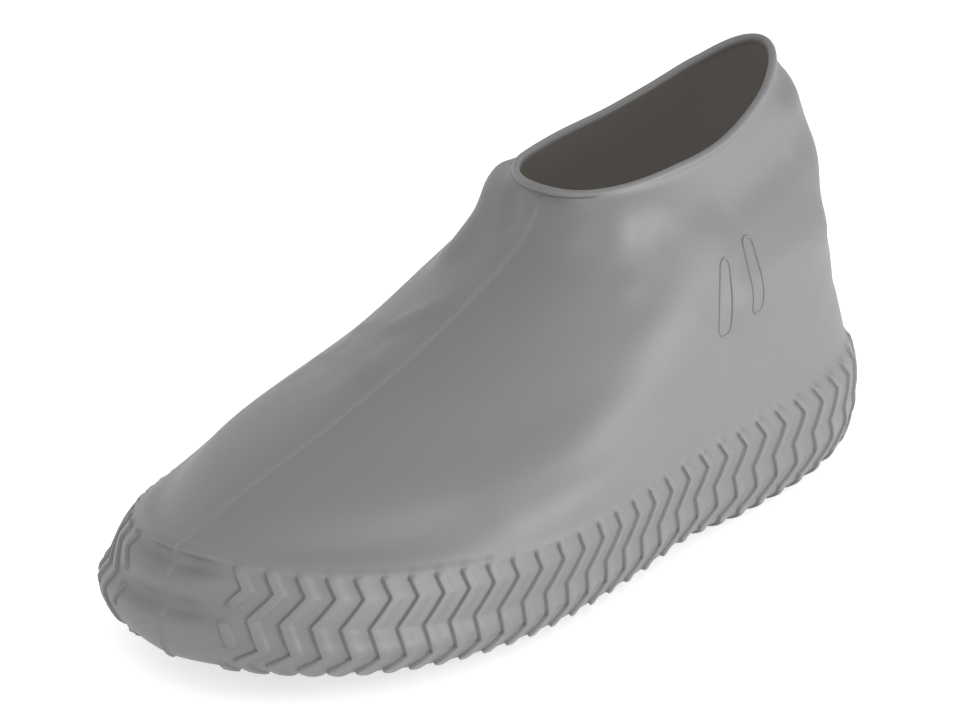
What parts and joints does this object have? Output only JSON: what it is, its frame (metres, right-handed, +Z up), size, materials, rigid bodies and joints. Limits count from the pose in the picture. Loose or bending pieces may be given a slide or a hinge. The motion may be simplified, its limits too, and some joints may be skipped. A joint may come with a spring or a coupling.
{
  "type": "waterproof shoe cover",
  "caption": "Low ankle silicone overshoe moulded in one piece, with zigzag ribs round a side band, a ribbed sole and a beaded collar opening.",
  "frame": {"origin": "centre of the object's box on the floor, under the middle of the sole", "axes": "+Y from toe to heel along the foot, +Z up, +X across the foot"},
  "size_m": [0.1052, 0.2748, 0.1143],
  "materials": {
    "silicone": "matt grey moulded silicone, slightly tacky, no gloss"
  },
  "bodies": {
    "root": {"cover": "silicone"}
  },
  "joints": []
}
